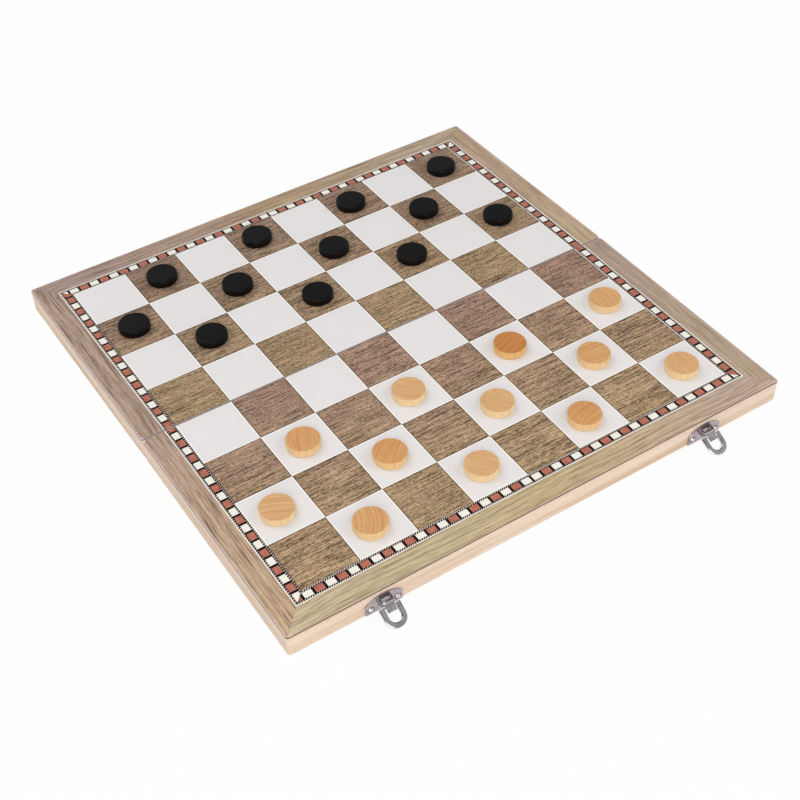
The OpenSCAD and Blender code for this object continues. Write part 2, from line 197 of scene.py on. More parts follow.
class Nodes:
    """A node tree, with short calls for the nodes that the finishes and the studio use."""

    def __init__(self, owner: bpy.types.Material | bpy.types.World) -> None:
        """Empty a tree.

        Args:
            owner: The material or world that the tree belongs to.
        """
        owner.use_nodes = True
        self.tree = owner.node_tree
        self.tree.nodes.clear()

    def feed(self, socket: Socket, value: Value | Paint) -> None:
        """Link a socket to a field, or set its own constant.

        Args:
            socket: The input to feed.
            value: A field, a number or a colour.
        """
        if isinstance(value, Field):
            self.tree.links.new(value.socket, socket)
        else:
            socket.default_value = (*value, 1.0) if isinstance(value, tuple) else value

    def math(self, operation: str, first: Value, second: Value = 0.0) -> Field:
        """Add a Math node.

        Args:
            operation: The node's operation, such as MULTIPLY.
            first: Its first value.
            second: Its second value, where it has one.

        Returns:
            The result.
        """
        node = self.tree.nodes.new("ShaderNodeMath")
        node.operation = operation
        self.feed(node.inputs[0], first)
        self.feed(node.inputs[1], second)
        return Field(self, node.outputs[0])

    def floor(self, value: Field) -> Field:
        """Return the whole number below a value."""
        return self.math("FLOOR", value)

    def fraction(self, value: Field) -> Field:
        """Return what a value has above the whole number below it."""
        return self.math("FRACT", value)

    def smaller(self, first: Value, second: Value) -> Field:
        """Return the smaller of two values."""
        return self.math("MINIMUM", first, second)

    def axes(self, output: str) -> tuple[Field, Field, Field]:
        """Split one output of the Texture Coordinate node, which the part carries with it.

        Args:
            output: The output's name.

        Returns:
            Its X, Y and Z.
        """
        coordinates = self.tree.nodes.new("ShaderNodeTexCoord")
        split = self.tree.nodes.new("ShaderNodeSeparateXYZ")
        self.tree.links.new(coordinates.outputs[output], split.inputs[0])
        return tuple(Field(self, socket) for socket in split.outputs)

    def place(self) -> tuple[Field, Field, Field]:
        """Return X, Y and Z of the shaded point, in metres in the part's own frame."""
        return self.axes("Object")

    def upright(self) -> Field:
        """Return Z of the surface's own normal, whichever side it faces."""
        return abs(self.axes("Normal")[2])

    def vector(self, *parts: Value) -> Field:
        """Join up to three values into a vector; a fourth is left out.

        Args:
            parts: The values.

        Returns:
            The vector.
        """
        node = self.tree.nodes.new("ShaderNodeCombineXYZ")
        for socket, value in zip(node.inputs, parts):
            self.feed(socket, value)
        return Field(self, node.outputs[0])

    def noise(self, pattern: Pattern, *places: Field, seed: Value = 0.0) -> Field:
        """Read a noise.

        Args:
            pattern: Its scales and layers.
            places: Where to read it, one place for each of its scales.
            seed: The place on the axis after these, which shifts a noise of one or two scales.

        Returns:
            The noise, about 0.5 in the middle.
        """
        node = self.tree.nodes.new("ShaderNodeTexNoise")
        node.inputs["Scale"].default_value = 1.0
        node.inputs["Detail"].default_value = pattern.detail
        node.inputs["Roughness"].default_value = pattern.roughness
        node.inputs["Distortion"].default_value = pattern.warp
        scaled = [place * scale for place, scale in zip(places, pattern.scales)]
        self.feed(node.inputs["Vector"], self.vector(*scaled, seed))
        return Field(self, node.outputs[0])

    def random(self, *parts: Value) -> Field:
        """Return one random value for each different set of up to three values.

        Args:
            parts: The values.

        Returns:
            The random value, 0 to 1.
        """
        node = self.tree.nodes.new("ShaderNodeTexWhiteNoise")
        self.feed(node.inputs["Vector"], self.vector(*parts))
        return Field(self, node.outputs["Value"])

    def spread(
        self, value: Value, low: float, high: float, to_low: float = 0.0, to_high: float = 1.0
    ) -> Field:
        """Map low..high to to_low..to_high, held at both ends.

        Args:
            value: The value to map.
            low: Start of its range.
            high: End of its range.
            to_low: Result at low.
            to_high: Result at high.

        Returns:
            The mapped value.
        """
        node = self.tree.nodes.new("ShaderNodeMapRange")
        for socket, number in zip(node.inputs, (value, low, high, to_low, to_high)):
            self.feed(socket, number)
        return Field(self, node.outputs[0])

    def mix(self, share: Value, first: Paint, second: Paint, way: str = "MIX") -> Field:
        """Mix two colours.

        Args:
            share: How much of the second colour shows.
            first: The first colour.
            second: The second colour.
            way: The blend type.

        Returns:
            The mixed colour.
        """
        node = self.tree.nodes.new("ShaderNodeMix")
        node.data_type = "RGBA"
        node.blend_type = way
        node.clamp_result = False
        self.feed(node.inputs[0], share)
        self.feed(node.inputs[6], first)
        self.feed(node.inputs[7], second)
        return Field(self, node.outputs[2])

    def tint(self, colour: Paint, by: Paint) -> Field:
        """Return one colour multiplied by another."""
        return self.mix(1.0, colour, by, "MULTIPLY")

    def ramp(self, value: Field, stops: list[tuple[float, Colour]]) -> Field:
        """Turn a value into a colour along a ramp.

        Args:
            value: The value, 0 to 1.
            stops: Places along the ramp, each with its colour.

        Returns:
            The colour.
        """
        node = self.tree.nodes.new("ShaderNodeValToRGB")
        elements = node.color_ramp.elements
        while len(elements) < len(stops):
            elements.new(0.5)
        for element, (at, colour) in zip(elements, stops):
            element.position = at
            element.color = (*colour, 1.0)
        self.feed(node.inputs[0], value)
        return Field(self, node.outputs[0])

    def light(self, kind: str, colour: Colour, strength: float | None = None) -> Socket:
        """Add a simple shader.

        Args:
            kind: The node's type.
            colour: Its colour.
            strength: Its strength, where it has one.

        Returns:
            The shader.
        """
        node = self.tree.nodes.new(kind)
        self.feed(node.inputs["Color"], colour)
        if strength is not None:
            node.inputs["Strength"].default_value = strength
        return node.outputs[0]

    def finish_backdrop(self, lit: Socket, seen: Socket, share: float, output: str) -> None:
        """Show one shader to the object's light, and mix in another for rays that see the backdrop.

        Args:
            lit: The shader that lights the object and takes its shadow.
            seen: The shader for rays from the camera, from a mirror or through glass.
            share: How much of it these rays see.
            output: Type of the tree's output node.
        """
        path = self.tree.nodes.new("ShaderNodeLightPath")
        names = ("Is Camera Ray", "Is Glossy Ray", "Is Transmission Ray")
        camera, glossy, transmission = (Field(self, path.outputs[name]) for name in names)
        mixed = self.tree.nodes.new("ShaderNodeMixShader")
        self.feed(mixed.inputs[0], (camera | glossy | transmission) * share)
        self.tree.links.new(lit, mixed.inputs[1])
        self.tree.links.new(seen, mixed.inputs[2])
        self.tree.links.new(mixed.outputs[0], self.tree.nodes.new(output).inputs["Surface"])


class Graph(Nodes):
    """The node tree of a material with one Principled shader."""

    def __init__(self, name: str) -> None:
        """Make a material with an empty tree, a shader and an output.

        Args:
            name: The material's name.
        """
        self.material = bpy.data.materials.new(name)
        super().__init__(self.material)
        self.shader = self.tree.nodes.new("ShaderNodeBsdfPrincipled")
        output = self.tree.nodes.new("ShaderNodeOutputMaterial")
        self.tree.links.new(self.shader.outputs["BSDF"], output.inputs["Surface"])

    def bump(self, height: Field, depth: float, strength: float) -> None:
        """Let a height map tilt the shader's normal.

        Args:
            height: The height, 0 to 1.
            depth: Depth in metres of a height of 1.
            strength: Share of the effect.
        """
        node = self.tree.nodes.new("ShaderNodeBump")
        node.inputs["Strength"].default_value = strength
        node.inputs["Distance"].default_value = depth
        self.feed(node.inputs["Height"], height)
        self.tree.links.new(node.outputs[0], self.shader.inputs["Normal"])

    def colour(self, value: Paint) -> None:
        """Feed the shader's base colour."""
        self.feed(self.shader.inputs["Base Color"], value)

    def roughness(self, value: Value) -> None:
        """Feed the shader's roughness."""
        self.feed(self.shader.inputs["Roughness"], value)

    def constant(self, name: str, value: float | tuple[float, ...]) -> None:
        """Set one of the shader's own sockets to a constant."""
        self.shader.inputs[name].default_value = value


# ---- Geometry of the halves, read from the frame ------------------------------------------------


@dataclass(frozen=True)
class HalfFrame:
    """Where one half lies: its face slopes down from the fold, which stands on the hinge barrels.

    Attributes:
        half: Which half.
        slope: Slope of the half in radians.
        axis_z: Height of the fold axis.
        face: Height of the playing face above the rim plane, measured across the half.
    """

    half: Half
    slope: float
    axis_z: float
    face: float

    @classmethod
    def measure(cls, half: Half) -> "HalfFrame":
        """Work out a half's place from its printed face, its fold joint and its lift joints.

        Args:
            half: Which half.

        Returns:
            The half's frame.
        """
        joints = {joint["name"]: joint for joint in frame["joints"]}
        normal = joints["light_draught_01_lift" if half is Half.FRONT else "dark_draught_01_lift"]["axis"]
        slope = math.atan2(abs(normal[1]), normal[2])
        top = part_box(f"{half.value}_printed_face")[1].z
        nearest = min(abs(corner.y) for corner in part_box(f"{half.value}_printed_face"))
        axis_z = joints["fold"]["pos_m"][2]
        face = (top - axis_z) * math.cos(slope) + nearest * math.sin(slope)
        return cls(half=half, slope=slope, axis_z=axis_z, face=face)

    def out(self, graph: Graph) -> Field:
        """Return how far the shaded point lies from the fold, along the face."""
        _, y, z = graph.place()
        return y * (self.half.sign * math.cos(self.slope)) - (z - self.axis_z) * math.sin(self.slope)

    def up(self, graph: Graph) -> Field:
        """Return how high the shaded point lies above the rim plane, square to the face."""
        _, y, z = graph.place()
        return y * (self.half.sign * math.sin(self.slope)) + (z - self.axis_z) * math.cos(self.slope)


# ---- Finishes -----------------------------------------------------------------------------------


class Finish:
    """A finish, which each kind draws in its own way."""

    def draw(self, graph: Graph) -> None:
        """Draw the finish into a material's graph."""
        raise NotImplementedError

    def dress(self, name: str) -> bpy.types.Material:
        """Build the material.

        Args:
            name: The material's name.

        Returns:
            The finished material.
        """
        graph = Graph(name)
        self.draw(graph)
        return graph.material


@dataclass(frozen=True)
class Veneer:
    """Streaky printed walnut, as on the frame strips round the field.

    Attributes:
        streak_length: Length of the broad streaks.
        streak_width: Width of the broad streaks.
        pore_length: Length of the dark pores.
        pore_width: Width of the dark pores.
        sway: How the fibres bend on their way.
        bend: How far they bend.
        contrast: Strength of the pattern, 1 as printed.
        dark: Light that the darkest fibres keep of each colour.
    """

    streak_length: float = 55 * MM
    streak_width: float = 2.0 * MM
    pore_length: float = 17 * MM
    pore_width: float = 0.5 * MM
    sway: Pattern = Pattern((11.0,), 1.0)
    bend: float = 12 * MM
    contrast: float = 1.0
    dark: Colour = (0.26, 0.21, 0.19)

    def apply(
        self, graph: Graph, colour: Paint, along: Field, across: Field, seed: float, strength: Value = 1.0
    ) -> Field:
        """Draw the streaks over a colour.

        Args:
            graph: The material's graph.
            colour: The wood's mean colour.
            along: Distance along the fibres.
            across: Distance across them.
            seed: Shifts the pattern.
            strength: Factor on the contrast, which may change from place to place.

        Returns:
            The streaked colour.
        """
        streaks = Pattern((1 / self.streak_length, 1 / self.streak_width), 3.0, 0.6, 0.2)
        vessels = Pattern((1 / self.pore_length, 1 / self.pore_width), 3.0, 0.65)
        bent = across + (graph.noise(self.sway, along, seed=seed) - 0.5) * self.bend
        broad = (graph.noise(streaks, along, bent, seed=seed) - 0.5) * (1.5 * self.contrast)
        pores = graph.noise(vessels, along, bent, seed=seed + 7)
        light = (broad + (pores - 0.5) * (2.1 * self.contrast)) * strength
        stops = [(0.0, self.dark), (0.6, grey(0.76)), (1.0, WHITE)]
        wood = graph.tint(colour, graph.ramp(light + 0.6, stops))
        filled = graph.spread(pores, 0.6, 0.67, 0.0, 0.6 * self.contrast)
        return graph.mix(filled, wood, graph.tint(wood, shade(self.dark, 1.3)))


@dataclass(frozen=True)
class SheetPrint:
    """What differs between the printed sheets of the two halves.

    Attributes:
        row_pitch: Depth of a square away from the fold.
        long_start: Distance of the long band from the fold.
        dark: Wood of the dark squares at the fold and at the outer edge.
        long: Wood of the long strip at its left, middle and right.
        left: Wood of the left strip at the fold and at the corner.
        right: Wood of the right strip at the fold and at the corner.
    """

    row_pitch: float
    long_start: float
    dark: tuple[Colour, Colour]
    long: tuple[Colour, Colour, Colour]
    left: tuple[Colour, Colour]
    right: tuple[Colour, Colour]


SHEET_PRINTS = {
    Half.FRONT: SheetPrint(
        row_pitch=42.3 * MM,
        long_start=169.35 * MM,
        dark=(from_screen(149, 122, 109), from_screen(163, 140, 111)),
        long=(from_screen(194, 176, 144), from_screen(192, 172, 134), from_screen(186, 163, 145)),
        left=(from_screen(175, 150, 133), from_screen(191, 163, 132)),
        right=(from_screen(172, 149, 134), from_screen(183, 162, 138)),
    ),
    Half.BACK: SheetPrint(
        row_pitch=42.9 * MM,
        long_start=171.4 * MM,
        # the back half's dark squares darken towards the outer edge: partly the print, partly painted shade
        # of the black draughts on the outer three rows
        dark=(from_screen(158, 135, 107), from_screen(142, 118, 103)),
        long=(from_screen(166, 143, 135), from_screen(170, 146, 118), from_screen(180, 161, 138)),
        left=(from_screen(170, 146, 128), from_screen(170, 146, 132)),
        right=(from_screen(184, 162, 134), from_screen(178, 152, 131)),
    ),
}


@dataclass(frozen=True)
class PrintedBoard(Finish):
    """The printed sheet of one half: squares, inlay band and mitred frame strips.

    Attributes:
        place: Where the half lies.
        sheet: What is this half's own in the print.
        columns: Number of columns of squares.
        column_pitch: Width of a square along the fold.
        shift: How far the squares sit to the right of the board's middle.
        side_start: Distance of the side bands from the middle between them.
        side_shift: How far that middle sits to the right of the board's.
        band: Width of the whole inlay band.
        rope: Width of a rope of dashes.
        white_line: Width of the pale line outside the band.
        bar: Width of the dark bar between two blocks.
        side_block: Length of a side band's block with its bar.
        long_block: Length of the long band's block with its bar.
        corner_bar: Distance from the field's corner to the bar at the corner block.
        long_dashes: Dashes beside one block of the long band.
        side_dashes: Dashes beside one block of a side band.
        dash_share: Share of a rope that its dashes cover.
        edge_line: Width of the thin line round a square.
        seam_rub_and_highlight: Width of the pale grey line at the fold: rubbed print with a painted
            highlight of its rounded edge.
        half_width: Half the board's width.
        tone_lift: Light of the strips' ground over their mean tone.
    """

    place: HalfFrame
    sheet: SheetPrint
    columns: int = 8
    column_pitch: float = 42.47 * MM
    shift: float = -0.45 * MM
    side_start: float = 170.1 * MM
    side_shift: float = -0.18 * MM
    band: float = 8.45 * MM
    rope: float = 1.6 * MM
    white_line: float = 0.65 * MM
    bar: float = 1.85 * MM
    side_block: float = 8.13 * MM
    long_block: float = 8.167 * MM
    corner_bar: float = 1.6 * MM
    long_dashes: int = 5
    side_dashes: int = 4
    dash_share: float = 0.64
    edge_line: float = 0.62 * MM
    seam_rub_and_highlight: float = 0.75 * MM
    half_width: float = 195 * MM
    tone_lift: float = 1.28
    white: Colour = from_screen(226, 223, 222)
    dusty_white: Colour = from_screen(220, 217, 216)
    bright_edge: Colour = from_screen(255, 253, 246)
    cream: Colour = from_screen(236, 231, 221)
    line: Colour = from_screen(243, 238, 232)
    brick: Colour = from_screen(183, 117, 96)
    brick_deep: Colour = from_screen(168, 98, 80)
    ink: Colour = from_screen(14, 9, 8)
    edge_brown: Colour = from_screen(84, 62, 48)
    lilac: Colour = from_screen(226, 208, 212)
    seam_grey: Colour = from_screen(172, 158, 156)
    cut_brown: Colour = from_screen(128, 92, 66)
    cut_grey: Colour = from_screen(150, 136, 132)
    speck: Pattern = Pattern((60.0, 60.0), 2.0)
    weave: Pattern = Pattern((45.0, 1450.0), 3.0, 0.75)
    bars: Pattern = Pattern((400.0, 1900.0), 2.0, 0.75)
    cloud: Pattern = Pattern((30.0, 55.0), 2.0)
    blush: Pattern = Pattern((240.0, 420.0), 1.0)
    fleck: Pattern = Pattern((420.0, 420.0), 2.0)
    drift: Pattern = Pattern((14.0, 14.0), 2.0)
    ragged: Pattern = Pattern((130.0, 130.0), 3.0)
    rubbed: Pattern = Pattern((18.0, 18.0), 4.0)

    @property
    def field_depth(self) -> float:
        """Return how deep this half's squares reach from the fold."""
        return self.columns / 2 * self.sheet.row_pitch

    def draw(self, graph: Graph) -> None:
        """Draw the whole sheet."""
        x, _, _ = graph.place()
        out = self.place.out(graph)
        across = x - self.shift
        past_x = abs(x - self.side_shift) - self.side_start
        past_out = out - self.sheet.long_start
        past = graph.math("MAXIMUM", past_x, past_out)
        inlay = self.inlay(graph, across, out, past_x, past_out, past)
        colour = graph.mix(past > 0.0, self.squares(graph, across, out), inlay)
        colour = graph.mix(past > self.band, colour, self.strips(graph, x, out, past_x, past_out))
        graph.colour(self.edge_wear_and_highlights(graph, colour, x, out))
        # a satin film with a faint orange peel and a few rubbed places
        graph.roughness(graph.spread(graph.noise(self.rubbed, x, out, seed=1.0), 0.3, 0.7, 0.36, 0.5))
        graph.bump(graph.noise(PEEL, x, out, seed=2.0), 0.02 * MM, 0.5)
        graph.constant("Specular IOR Level", 0.15)

    def squares(self, graph: Graph, across: Field, out: Field) -> Field:
        """Draw the eight by four squares of this half.

        Args:
            graph: The material's graph.
            across: Distance from the field's middle along the fold.
            out: Distance from the fold.

        Returns:
            The squares' colour.
        """
        column = graph.floor(across / self.column_pitch)
        row = graph.floor(out / self.sheet.row_pitch)
        turn = 1.0 if self.place.half is Half.BACK else 0.0
        dark = (column + row + (EVEN + turn)) % 2.0 > 0.5

        # distance from the square's nearest side
        in_x = graph.math("PINGPONG", across, self.column_pitch / 2)
        in_out = graph.math("PINGPONG", out, self.sheet.row_pitch / 2)
        rim = graph.spread(graph.smaller(in_x, in_out), self.edge_line * 0.8, self.edge_line * 1.4, 0.8, 0.0)
        dust = graph.spread(graph.noise(self.speck, across, out, seed=9.0), 0.3, 0.8, 0.0, 0.4)
        plain = graph.mix(rim, graph.mix(dust, self.white, self.dusty_white), self.bright_edge)
        wood = graph.mix(rim, self.dark_wood(graph, across, out, column, row), self.edge_brown)
        return graph.mix(dark, plain, wood)

    def dark_wood(self, graph: Graph, across: Field, out: Field, column: Field, row: Field) -> Field:
        """Draw the dark squares' short-fibred brown wood, whose grain runs along the fold.

        Args:
            graph: The material's graph.
            across: Distance from the field's middle along the fold.
            out: Distance from the fold.
            column: Number of the square's column.
            row: Number of its row.

        Returns:
            The wood's colour.
        """
        seed = graph.random(column, row, float(self.place.half.sign)) * 50.0
        weave = graph.noise(self.weave, across, out, seed=seed) - 0.5
        bars = graph.noise(self.bars, across, out, seed=seed + 3.0) - 0.5
        cloud = graph.noise(self.cloud, across, out, seed=seed + 6.0) - 0.5
        blush = graph.noise(self.blush, across, out, seed=seed + 9.0)
        run = graph.spread(out, 0.0, self.field_depth) + cloud * 0.5
        cast = graph.mix(graph.spread(blush, 0.4, 0.66), (1.64, 1.68, 1.52), (1.72, 1.6, 1.6))
        base = graph.tint(graph.mix(run, *self.sheet.dark), cast)
        light = weave * 4.2 + bars * 3.4 + cloud * 0.4
        stops = [(0.0, (0.16, 0.14, 0.125)), (0.5, grey(0.58)), (1.0, WHITE)]
        return graph.tint(base, graph.ramp(light + 0.5, stops))

    def inlay(
        self, graph: Graph, across: Field, out: Field, past_x: Field, past_out: Field, past: Field
    ) -> Field:
        """Draw the band: two ropes of dashes with a row of cream and brick blocks between them.

        Args:
            graph: The material's graph.
            across: Distance from the field's middle along the fold.
            out: Distance from the fold.
            past_x: How far the point lies past the field's ends.
            past_out: How far it lies past the field's outer edge.
            past: The larger of these two.

        Returns:
            The band's colour.
        """
        on_side = past_x > past_out
        side_run = (self.field_depth - self.corner_bar) - out
        long_run = (self.columns / 2 * self.column_pitch + self.corner_bar) - abs(across)
        fleck = graph.noise(self.fleck, across, out, seed=2.0)
        brick = graph.mix(graph.spread(fleck, 0.38, 0.62), self.brick, self.brick_deep)

        # the blocks next to the corner are split by the mitre, and their colours swap at the next corner
        differ = abs(on_side - (across > 0.0)) > 0.5
        pair = (self.cream, brick) if self.place.half is Half.BACK else (brick, self.cream)
        corner = graph.mix(differ, *pair)
        long_blocks = self.block_row(graph, long_run, self.long_block, corner, self.cream, brick)
        side_blocks = self.block_row(graph, side_run, self.side_block, corner, brick, self.cream)

        depth = graph.smaller(past, (self.band - self.white_line) - past)
        dashes = graph.mix(
            on_side,
            self.dashes(graph, long_run, past, self.long_block / self.long_dashes),
            self.dashes(graph, side_run, past, self.side_block / self.side_dashes),
        )
        in_rope = depth < self.rope
        colour = graph.mix(depth < self.rope * 0.6, graph.mix(on_side, long_blocks, side_blocks), self.cream)
        colour = graph.mix(in_rope * (on_side * 0.15 + 0.2), colour, self.ink)
        colour = graph.mix(in_rope & dashes, colour, self.ink)
        return graph.mix(past > self.band - self.white_line, colour, self.line)

    def block_row(
        self, graph: Graph, run: Field, pitch: float, corner: Field, first: Paint, second: Paint
    ) -> Field:
        """Draw a row of blocks that alternate from the corner on, with a dark bar between neighbours.

        Args:
            graph: The material's graph.
            run: Distance from the bar at the corner block.
            pitch: Length of one block with its bar.
            corner: Colour of the corner block.
            first: Colour of the block next to it.
            second: Colour of the block after that.

        Returns:
            The row's colour.
        """
        step = run / pitch
        inside = graph.fraction(step)
        odd = (graph.floor(step) + EVEN) % 2.0 > 0.5
        near = graph.smaller(inside, 1.0 - inside)
        row = graph.mix(run < 0.0, graph.mix(odd, first, second), corner)
        return graph.mix((near < self.bar / 2 / pitch) & (run > -self.bar), row, self.ink)

    def dashes(self, graph: Graph, along: Field, past: Field, pitch: float) -> Field:
        """Return the mask of a rope's slanted dashes, at a pitch along the band."""
        return graph.fraction((along + past * 0.35) / pitch) < self.dash_share

    def strips(self, graph: Graph, x: Field, out: Field, past_x: Field, past_out: Field) -> Field:
        """Draw the mitred frame strips, each with its grain along it.

        Args:
            graph: The material's graph.
            x: Place along the fold.
            out: Distance from the fold.
            past_x: How far the point lies past the field's ends.
            past_out: How far it lies past the field's outer edge.

        Returns:
            The strips' colour.
        """
        drift = (graph.noise(self.drift, x, out, seed=5.0) - 0.5) * 0.35
        run_x = graph.spread(x, -self.half_width, self.half_width) + drift
        run_out = graph.spread(out, 0.0, self.half_width) + drift
        stops = [(at, shade(tone, self.tone_lift)) for at, tone in zip((0.05, 0.5, 0.95), self.sheet.long)]
        left, right = (
            graph.mix(run_out, *(shade(tone, self.tone_lift) for tone in tones))
            for tones in (self.sheet.left, self.sheet.right)
        )
        on_right = x > 0.0
        seed = self.place.half.sign
        long_wood = Veneer().apply(graph, graph.ramp(run_x, stops), x, out, 11.0 + seed, 1.15)
        side_tone = graph.mix(on_right, left, right)
        side_wood = Veneer().apply(graph, side_tone, out, x, 31.0 + seed, 1.5 - on_right * 0.65)

        # the mitre runs from the band's corner to the board's corner
        share_x = (past_x - self.band) / (self.half_width - self.side_start - self.band)
        share_out = (past_out - self.band) / (self.half_width - self.sheet.long_start - self.band)
        wood = graph.mix(share_x > share_out, long_wood, side_wood)
        mitre = abs(share_x - share_out) < 0.014
        return graph.mix(mitre * 0.2, wood, self.edge_brown)

    def edge_wear_and_highlights(self, graph: Graph, colour: Field, x: Field, out: Field) -> Field:
        """Show how the print is worn at the board's edges, and paint highlights on its rounded edges.

        Args:
            graph: The material's graph.
            colour: The print's colour.
            x: Place along the fold.
            out: Distance from the fold.

        Returns:
            The colour with a dark cut edge, a pale line of painted highlight beside it and a grey seam of
            rubbed print with a painted highlight.
        """
        from_end = self.half_width - abs(x)
        rim = graph.smaller(from_end, self.half_width - out)
        reach = (graph.noise(self.ragged, x, out, seed=8.0) - 0.5) * (0.9 * MM)
        inside = graph.spread(rim + reach, 0.45 * MM, 1.05 * MM)
        share = (from_end < 4 * MM) * 0.45 + 0.2
        # painted highlight: the pale lilac line along the outer edges, stronger near the ends, stands for
        # light on the rounded edge
        colour = graph.mix(~inside * share, colour, self.lilac)
        # the grey line at the fold is rubbed print and a painted highlight of the rounded fold edge
        seam = graph.spread(out + reach, self.seam_rub_and_highlight * 0.6, self.seam_rub_and_highlight * 1.4, 0.75, 0.0)
        colour = graph.mix(seam, colour, self.seam_grey)
        # the rubbed corners at the fold are drawn in the same pale lilac, partly painted highlight on their
        # rounding
        chip = from_end + out * 0.45 + reach * 1.5
        colour = graph.mix(chip < 1.9 * MM, colour, self.lilac)
        side = graph.spread(graph.axes("Normal")[2], 0.35, 0.8, 0.9, 0.0)
        return graph.mix(side, colour, graph.mix(out < 1.5 * MM, self.cut_brown, self.cut_grey))


@dataclass(frozen=True)
class BareWood(Finish):
    """Pale sanded wood of the rails, with a dark stained line where the face sheet meets it.

    Attributes:
        place: Where the half lies.
        grain: The axis of the fibres.
        sheet: Thickness of the face sheet.
        line_width: Width of the stained line.
    """

    place: HalfFrame
    grain: Grain
    sheet: float = 0.3 * MM
    line_width: float = 1.2 * MM
    pale: Colour = from_screen(240, 220, 200)
    middle: Colour = from_screen(231, 207, 184)
    deep: Colour = from_screen(214, 182, 154)
    fleck_brown: Colour = from_screen(196, 150, 116)
    stain: Colour = from_screen(104, 74, 56)
    broad: Pattern = Pattern((7.0, 130.0, 170.0), 4.0, 0.55, 0.3)
    fibres: Pattern = Pattern((60.0, 1500.0, 1500.0), 2.0)
    flecks: Pattern = Pattern((260.0, 900.0, 900.0), 1.0)
    ragged: Pattern = Pattern((160.0, 0.0), 3.0)

    def draw(self, graph: Graph) -> None:
        """Draw the wood and its stained line."""
        x, y, z = graph.place()
        along, across = (x, y) if self.grain is Grain.ALONG_X else (y, x)
        broad = graph.spread(graph.noise(self.broad, along, across, z), 0.3, 0.72)
        fibres = graph.noise(self.fibres, along, across, z)
        flecks = graph.spread(graph.noise(self.flecks, along, across, z), 0.66, 0.74, 0.0, 0.35)
        wood = graph.ramp(broad, [(0.0, self.deep), (0.45, self.middle), (1.0, self.pale)])
        wood = graph.mix(graph.spread(fibres, 0.5, 0.72, 0.0, 0.3), wood, self.deep)
        wood = graph.mix(flecks, wood, self.fleck_brown)
        sway = (graph.noise(self.ragged, along, across, seed=4.0) - 0.5) * (0.7 * MM)
        stained = self.place.up(graph) > sway + (self.place.face - self.sheet - self.line_width)
        graph.colour(graph.mix(stained * 0.9, wood, self.stain))
        graph.roughness(graph.spread(fibres, 0.3, 0.7, 0.5, 0.66))
        graph.bump(fibres, 0.05 * MM, 0.6)


@dataclass(frozen=True)
class Fibreboard(Finish):
    """Brown fibreboard of the thin panels."""

    pale: Colour = from_screen(186, 148, 110)
    deep: Colour = from_screen(140, 104, 72)
    fibre: Pattern = Pattern((900.0, 900.0, 900.0), 4.0)

    def draw(self, graph: Graph) -> None:
        """Draw the matted fibres."""
        fibre = graph.noise(self.fibre, *graph.place())
        graph.colour(graph.mix(graph.spread(fibre, 0.3, 0.7), self.deep, self.pale))
        graph.roughness(0.85)
        graph.bump(fibre, 0.1 * MM, 0.7)


@dataclass(frozen=True)
class BackgammonPrint(Finish):
    """The tray lining: a backgammon half board with six long points on each side of a bar.

    Attributes:
        place: Where the half lies.
        width: Width of the lining along the fold.
        near: Distance of the lining's near edge from the fold.
        far: Distance of its far edge.
        points: Number of points.
        bar: Width of the bar.
        margin: Width of the plain border.
        reach: Length of a point, as a share of the field's depth.
        line_width: Width of the lines round the field and the bar.
    """

    place: HalfFrame
    width: float
    near: float
    far: float
    points: int = 12
    bar: float = 18 * MM
    margin: float = 8 * MM
    reach: float = 0.72
    line_width: float = 1.0 * MM
    ground: Colour = from_screen(206, 178, 138)
    dark_point: Colour = from_screen(110, 72, 52)
    light_point: Colour = from_screen(238, 222, 190)
    line: Colour = from_screen(84, 56, 42)

    def draw(self, graph: Graph) -> None:
        """Draw the points, the bar and the lines."""
        x, _, _ = graph.place()
        out = self.place.out(graph)
        home = self.width / 2 - self.margin - self.bar / 2
        from_bar = abs(x) - self.bar / 2
        base = (self.far - self.margin) - out
        step = from_bar / (home / (self.points / 2))
        middle = abs(graph.fraction(step) - 0.5)
        slim = ~(base / ((self.far - self.near - 2 * self.margin) * self.reach)) * 0.5
        point = (middle < slim) & (from_bar > 0.0) & (from_bar < home) & (base > 0.0)
        odd = (graph.floor(step) + (x > 0.0)) % 2.0
        wood = Veneer(contrast=0.6).apply(graph, shade(self.ground, 1.25), x, out, 51.0)
        colour = graph.mix(point, wood, graph.mix(odd, self.dark_point, self.light_point))
        colour = graph.mix(point & (middle > slim - 0.035), colour, self.line)

        outer_line = self.margin - 0.6 * MM - self.line_width
        border = graph.smaller(self.width / 2 - abs(x), graph.smaller(out - self.near, self.far - out))
        inside = border > outer_line
        frame_line = inside & (border < outer_line + self.line_width)
        bar_line = (from_bar > -self.line_width) & (from_bar < 0.0) & inside
        graph.colour(graph.mix(frame_line | bar_line, colour, self.line))
        graph.roughness(0.45)
        graph.bump(graph.noise(PEEL, x, out, seed=2.0), 0.02 * MM, 0.5)


